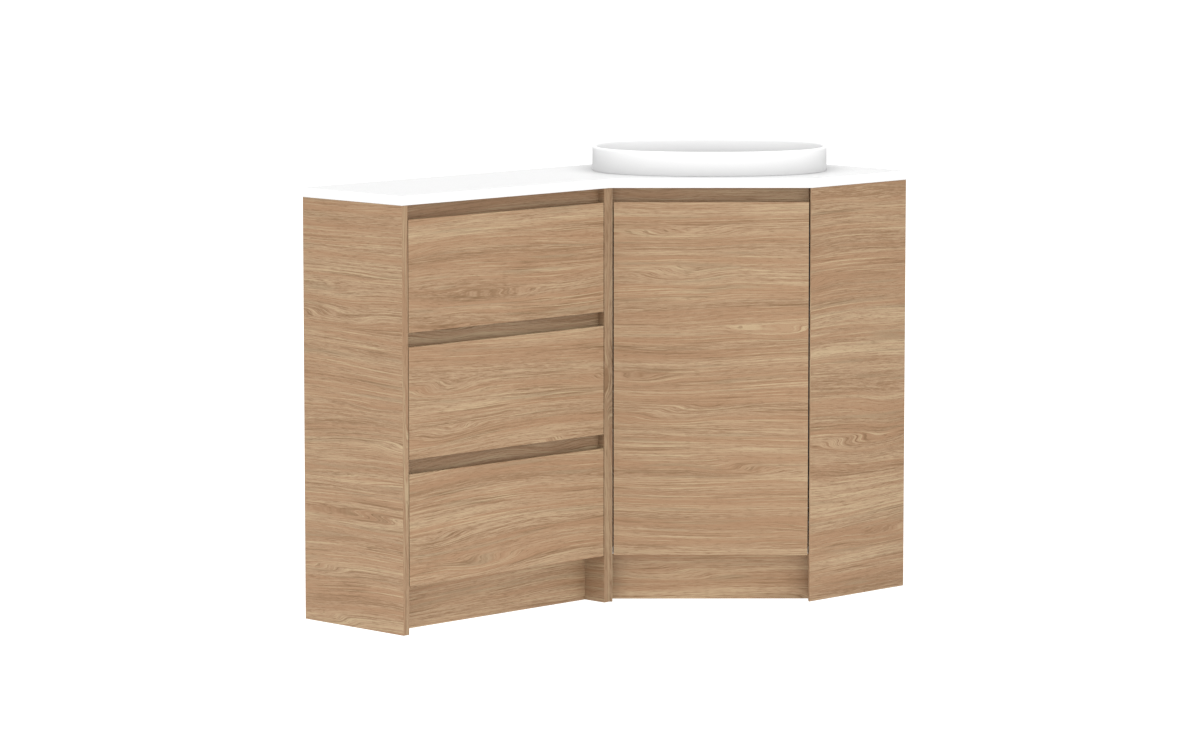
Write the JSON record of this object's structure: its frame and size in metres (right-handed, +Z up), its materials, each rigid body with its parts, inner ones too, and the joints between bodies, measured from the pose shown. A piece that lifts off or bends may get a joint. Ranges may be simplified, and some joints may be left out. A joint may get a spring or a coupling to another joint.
{
  "type": "corner vanity unit",
  "caption": "Corner bathroom vanity with a drawer bank, an angled cupboard door, a stone top and an oval inset basin.",
  "frame": {"origin": "centre of the plan's bounding box, on the floor", "axes": "+Z up, +X to the right along the back wall, +Y into the back wall"},
  "size_m": [1.2, 0.6, 0.952],
  "materials": {
    "oak": "matt oak-grain laminate",
    "white_board": "satin white melamine",
    "stone": "polished white",
    "ceramic": "glossy glaze",
    "chrome": "polished",
    "steel": "zinc plated",
    "rubber": "matt",
    "clear_pad": "soft clear",
    "leg_plastic": "moulded"
  },
  "bodies": {
    "root": {"benchtop": "stone", "basin": "ceramic", "waste_body": "chrome", "waste_washer": "rubber", "waste_nut": "chrome", "left_end_panel": "oak", "bank_gable": "oak", "bank_bottom": "white_board", "bank_back": "white_board", "bank_kickboard": "oak", "finger_rail_top": "oak", "finger_rail_upper": "oak", "finger_rail_lower": "oak", "corner_gable": "oak", "right_end_panel": "oak", "corner_bottom": "white_board", "corner_kickboard": "oak", "corner_finger_rail": "oak", "wall_rail_back": "white_board", "wall_rail_side": "white_board", "foot_rail_back": "white_board", "foot_rail_side": "white_board", "corner_back_sheet": "white_board", "corner_side_sheet": "white_board", "levelling_legs": "leg_plastic", "hinge_arms": "steel", "hinge_plates": "steel", "runner_1_rails": "steel", "runner_2_rails": "steel", "runner_3_rails": "steel"},
    "drawer_1": {"drawer_1_front": "oak", "drawer_1_side_left": "white_board", "drawer_1_side_right": "white_board", "drawer_1_back": "white_board", "drawer_1_base": "white_board", "drawer_1_slides": "steel"},
    "drawer_2": {"drawer_2_front": "oak", "drawer_2_side_left": "white_board", "drawer_2_side_right": "white_board", "drawer_2_back": "white_board", "drawer_2_base": "white_board", "drawer_2_slides": "steel"},
    "drawer_3": {"drawer_3_front": "oak", "drawer_3_side_left": "white_board", "drawer_3_side_right": "white_board", "drawer_3_back": "white_board", "drawer_3_base": "white_board", "drawer_3_slides": "steel"},
    "cages_1": {"runner_1_cages": "steel"},
    "cages_2": {"runner_2_cages": "steel"},
    "cages_3": {"runner_3_cages": "steel"},
    "door": {"door": "oak", "door_bumpers": "clear_pad", "hinge_cups": "steel"},
    "hinge_links": {"hinge_links": "steel"},
    "plug": {"waste_plug": "chrome"}
  },
  "joints": [
    {"name": "drawer_1_slide", "type": "slide", "parent": "root", "child": "drawer_1", "axis": [0, -1, 0], "range_m": [0, 0.18]},
    {"name": "cages_1_slide", "type": "slide", "parent": "root", "child": "cages_1", "axis": [0, -1, 0], "range_m": [0, 0.09]},
    {"name": "drawer_2_slide", "type": "slide", "parent": "root", "child": "drawer_2", "axis": [0, -1, 0], "range_m": [0, 0.18]},
    {"name": "cages_2_slide", "type": "slide", "parent": "root", "child": "cages_2", "axis": [0, -1, 0], "range_m": [0, 0.09]},
    {"name": "drawer_3_slide", "type": "slide", "parent": "root", "child": "drawer_3", "axis": [0, -1, 0], "range_m": [0, 0.18]},
    {"name": "cages_3_slide", "type": "slide", "parent": "root", "child": "cages_3", "axis": [0, -1, 0], "range_m": [0, 0.09]},
    {"name": "door_swing", "type": "hinge", "parent": "root", "child": "door", "pos_m": [0.29625, -0.29425, 0.475], "axis": [0, 0, 1], "range_deg": [0, 110]},
    {"name": "hinge_links_swing", "type": "hinge", "parent": "root", "child": "hinge_links", "pos_m": [0.29625, -0.29425, 0.475], "axis": [0, 0, 1], "range_deg": [0, 66]},
    {"name": "plug_lift", "type": "slide", "parent": "root", "child": "plug", "axis": [0, 0, 1], "range_m": [0, 0.009]}
  ],
  "couplings": [
    {"joint": "cages_1_slide", "follows": "drawer_1_slide", "ratio": 0.5},
    {"joint": "cages_2_slide", "follows": "drawer_2_slide", "ratio": 0.5},
    {"joint": "cages_3_slide", "follows": "drawer_3_slide", "ratio": 0.5},
    {"joint": "hinge_links_swing", "follows": "door_swing", "ratio": 0.6}
  ]
}
